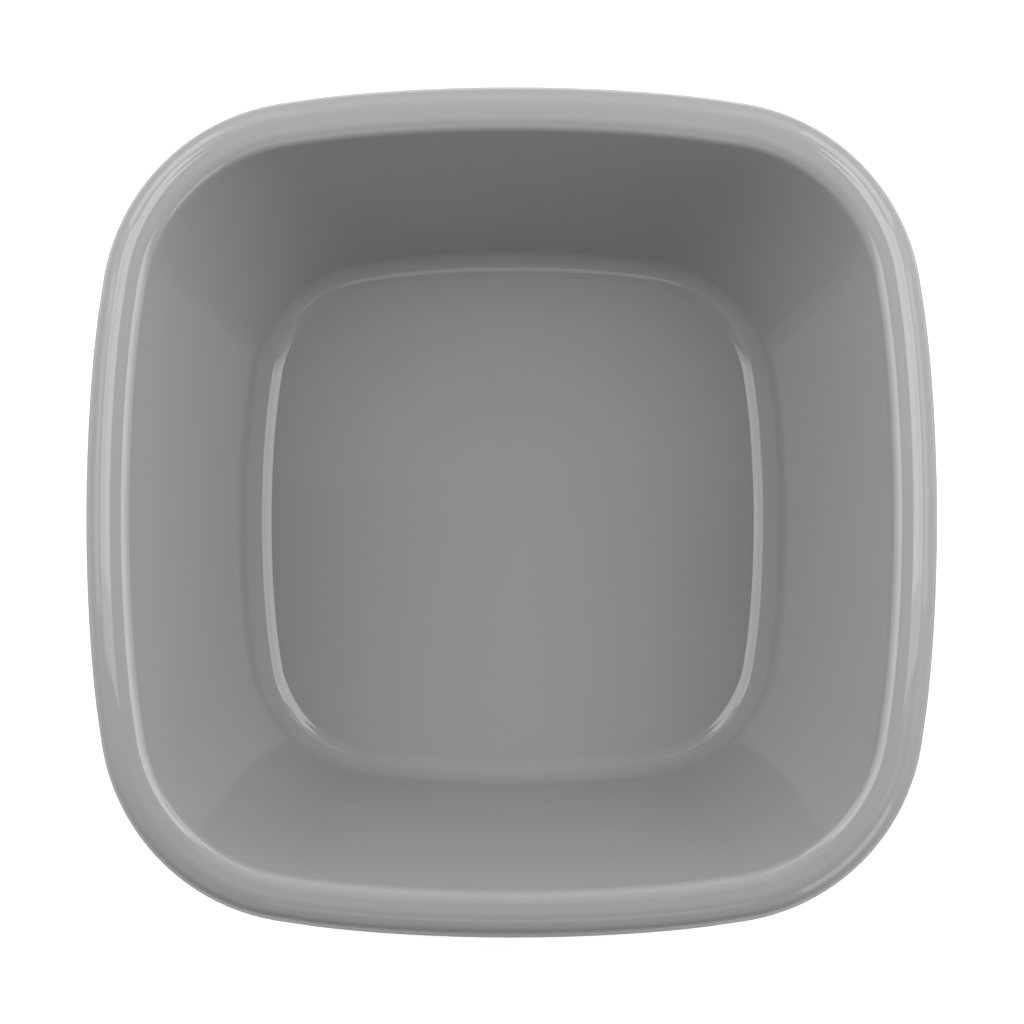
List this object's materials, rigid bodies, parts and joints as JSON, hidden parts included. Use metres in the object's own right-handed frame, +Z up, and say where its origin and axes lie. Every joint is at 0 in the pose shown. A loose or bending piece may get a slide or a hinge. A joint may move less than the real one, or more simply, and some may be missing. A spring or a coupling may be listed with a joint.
{
  "type": "washing-up bowl",
  "caption": "Square open bowl with bowed sides, round corners, sloping walls and a wide rolled rim to grip, for washing up in a sink.",
  "frame": {"origin": "middle of the foot ring, on the table", "axes": "+Z up through the middle of the mouth, +X and +Y to the middles of two sides"},
  "size_m": [0.32, 0.32, 0.14],
  "materials": {
    "shell": "glossy moulded polypropylene, mid grey"
  },
  "bodies": {
    "root": {"bowl": "shell"}
  },
  "joints": []
}
